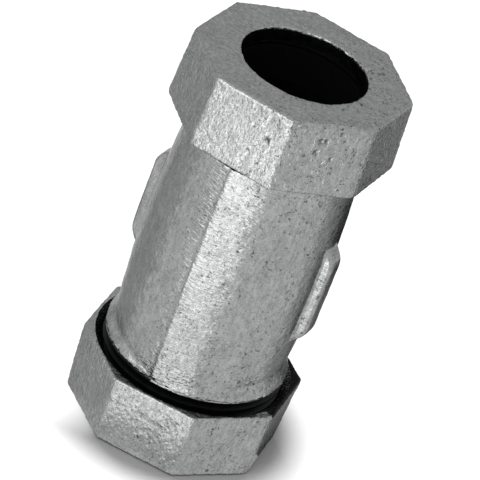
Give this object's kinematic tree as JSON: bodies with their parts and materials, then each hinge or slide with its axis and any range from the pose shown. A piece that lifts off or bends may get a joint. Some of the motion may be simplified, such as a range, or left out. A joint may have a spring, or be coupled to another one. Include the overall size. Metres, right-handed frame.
{
  "type": "compression coupling",
  "caption": "Galvanised cast-iron compression coupling: a lugged barrel body with an octagonal screw nut, steel ring and tapered rubber gasket at each end, joining plain-ended pipe.",
  "frame": {"origin": "centre of the bottom nut's pipe-end face, on which the coupling stands", "axes": "+Z along the pipe axis, up; +X through one wrench lug; the casting seam lies on -Y and +Y"},
  "size_m": [0.0482, 0.0482, 0.0927],
  "materials": {
    "galvanised_iron": "hot-dip galvanised rough casting",
    "plated_steel": "zinc-plated stamping",
    "gasket_rubber": "moulded matt"
  },
  "bodies": {
    "body": {"coupling_body": "galvanised_iron", "top_gasket": "gasket_rubber"},
    "top_ring": {"top_retainer_ring": "plated_steel"},
    "top_nut": {"top_nut": "galvanised_iron"},
    "bottom_ring": {"bottom_retainer_ring": "plated_steel", "bottom_gasket": "gasket_rubber"},
    "bottom_nut": {"bottom_nut": "galvanised_iron"}
  },
  "joints": [
    {"name": "top_thread_travel", "type": "slide", "parent": "body", "child": "top_ring", "axis": [0, 0, 1], "range_m": [0, 0.0081]},
    {"name": "top_nut_turn", "type": "hinge", "parent": "top_ring", "child": "top_nut", "pos_m": [0, 0, 0.084], "axis": [0, 0, 1], "range_deg": [0, 1260]},
    {"name": "bottom_thread_travel", "type": "slide", "parent": "body", "child": "bottom_ring", "axis": [0, 0, -1], "range_m": [-0.00116, 0.00693]},
    {"name": "bottom_nut_turn", "type": "hinge", "parent": "bottom_ring", "child": "bottom_nut", "pos_m": [0, 0, 0.008], "axis": [0, 0, -1], "range_deg": [-180, 1080]}
  ],
  "couplings": [
    {"joint": "top_thread_travel", "follows": "top_nut_turn", "m_per_rad": 0.00036749},
    {"joint": "bottom_thread_travel", "follows": "bottom_nut_turn", "m_per_rad": 0.00036749}
  ]
}
